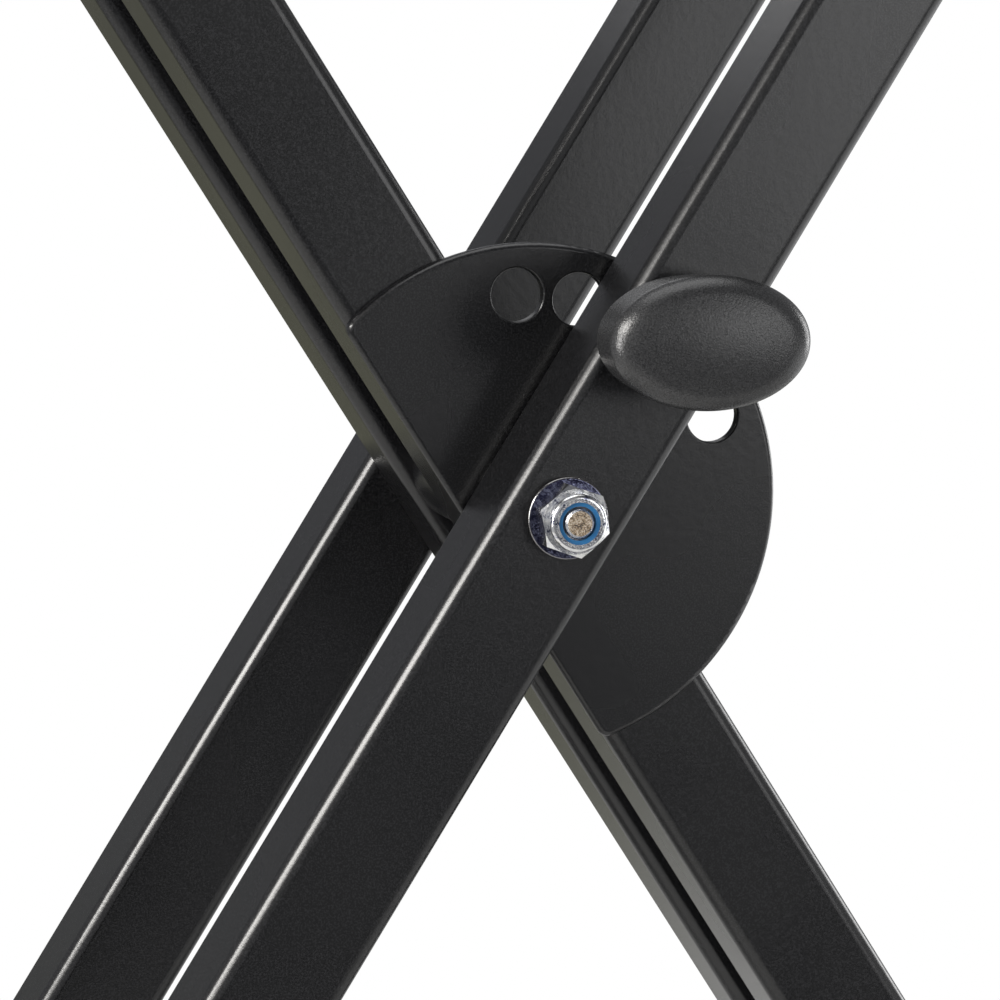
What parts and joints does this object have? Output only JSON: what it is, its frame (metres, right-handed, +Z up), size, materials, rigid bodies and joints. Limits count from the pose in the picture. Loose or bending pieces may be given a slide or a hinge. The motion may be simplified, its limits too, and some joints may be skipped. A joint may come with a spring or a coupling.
{
  "type": "folding keyboard stand",
  "caption": "Double-braced X-frame keyboard stand of black square tube that folds on one bolt and locks by a spring pin with an oval pull knob in a plate of holes.",
  "frame": {"origin": "floor level, midway between the feet and under the pivot", "axes": "+X to the right seen from the knob's side, +Y to the back, +Z up"},
  "size_m": [0.5524, 0.43, 0.8755],
  "materials": {
    "black_powder_coat": "fine orange-peel satin powder coat",
    "zinc_plate": "bright zinc plate",
    "spring_steel": "bare spring wire",
    "blue_nylon": "moulded nylon",
    "white_nylon": "moulded nylon",
    "knob_plastic": "fine-grained moulded plastic",
    "rubber": "matt rubber"
  },
  "bodies": {
    "outer_frame": {"outer_leg_front": "black_powder_coat", "outer_leg_rear": "black_powder_coat", "outer_foot_saddle": "black_powder_coat", "outer_arm_saddle": "black_powder_coat", "outer_foot_bar": "black_powder_coat", "outer_arm_bar": "black_powder_coat", "outer_arm_strip": "rubber", "outer_foot_boot_front": "rubber", "outer_foot_boot_rear": "rubber", "outer_arm_boot_front": "rubber", "outer_arm_boot_rear": "rubber", "outer_saddle_bolts": "zinc_plate", "outer_saddle_nuts": "zinc_plate", "pivot_bolt": "zinc_plate", "pivot_washer_front": "zinc_plate", "pivot_washer_rear": "zinc_plate", "pivot_nut": "zinc_plate", "pivot_nut_ring": "blue_nylon", "pivot_sleeve": "zinc_plate", "lock_guide": "zinc_plate"},
    "inner_frame": {"inner_leg_front": "black_powder_coat", "inner_leg_rear": "black_powder_coat", "inner_foot_saddle": "black_powder_coat", "inner_arm_saddle": "black_powder_coat", "inner_foot_bar": "black_powder_coat", "inner_arm_bar": "black_powder_coat", "inner_arm_strip": "rubber", "inner_foot_boot_front": "rubber", "inner_foot_boot_rear": "rubber", "inner_arm_boot_front": "rubber", "inner_arm_boot_rear": "rubber", "inner_saddle_bolts": "zinc_plate", "inner_saddle_nuts": "zinc_plate", "inner_spacer": "black_powder_coat", "lock_plate": "black_powder_coat", "pivot_bush_front": "white_nylon", "pivot_bush_rear": "white_nylon"},
    "lock_plunger": {"lock_pin": "zinc_plate", "lock_spring": "spring_steel"},
    "knob": {"pull_knob": "knob_plastic"}
  },
  "joints": [
    {"name": "leg_fold", "type": "hinge", "parent": "outer_frame", "child": "inner_frame", "pos_m": [0, 0, 0.43773], "axis": [0, 1, 0], "range_deg": [-35.5, 57]},
    {"name": "lock_pull", "type": "slide", "parent": "outer_frame", "child": "lock_plunger", "axis": [0, -1, 0], "range_m": [0, 0.006], "stiffness_N_per_m": 1500, "springref_m": -0.008, "deforming": ["lock_spring"]},
    {"name": "knob_turn", "type": "hinge", "parent": "lock_plunger", "child": "knob", "pos_m": [0.02271, -0.07555, 0.47365], "axis": [0, 1, 0], "continuous": true}
  ]
}
